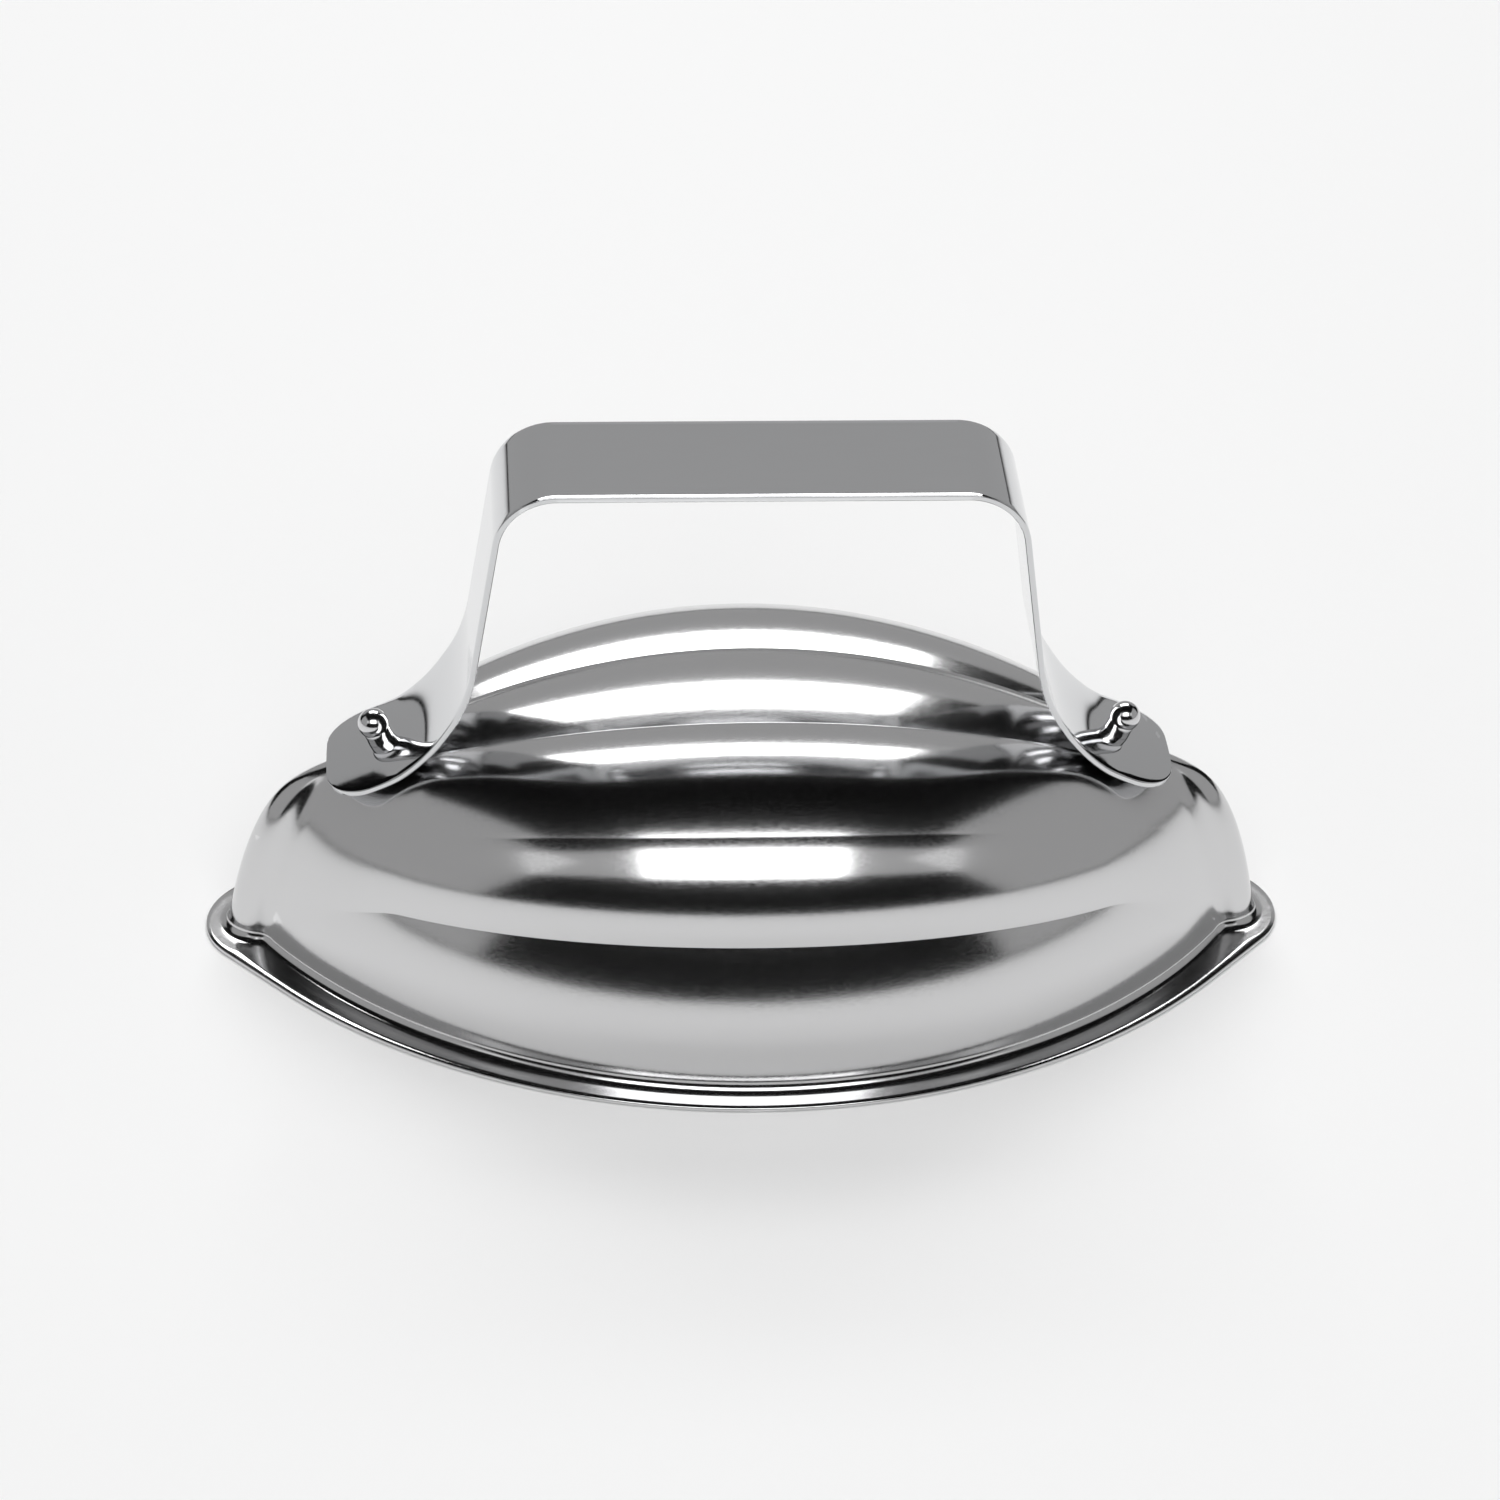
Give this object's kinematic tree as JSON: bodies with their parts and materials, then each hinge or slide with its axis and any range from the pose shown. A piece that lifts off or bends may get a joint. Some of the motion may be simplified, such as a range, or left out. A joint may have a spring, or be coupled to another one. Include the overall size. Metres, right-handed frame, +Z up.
{
  "type": "fluted food mould with strap handle",
  "caption": "Hollow pressed-metal dome mould, leaf-shaped in plan and fluted lengthwise, with a flat rim and a riveted bent-strip handle over the top.",
  "frame": {"origin": "middle of the object in plan, on the plane the rim rests on", "axes": "+X along the mould's length, +Y across it, +Z up through the handle"},
  "size_m": [0.175, 0.102, 0.0872],
  "materials": {
    "shell_steel": "satin",
    "handle_steel": "polished",
    "rivet_steel": "polished"
  },
  "bodies": {
    "root": {"mould_shell": "shell_steel", "handle_strap": "handle_steel", "left_rivet_body": "rivet_steel", "left_rivet_mandrel": "rivet_steel", "right_rivet_body": "rivet_steel", "right_rivet_mandrel": "rivet_steel"}
  },
  "joints": []
}
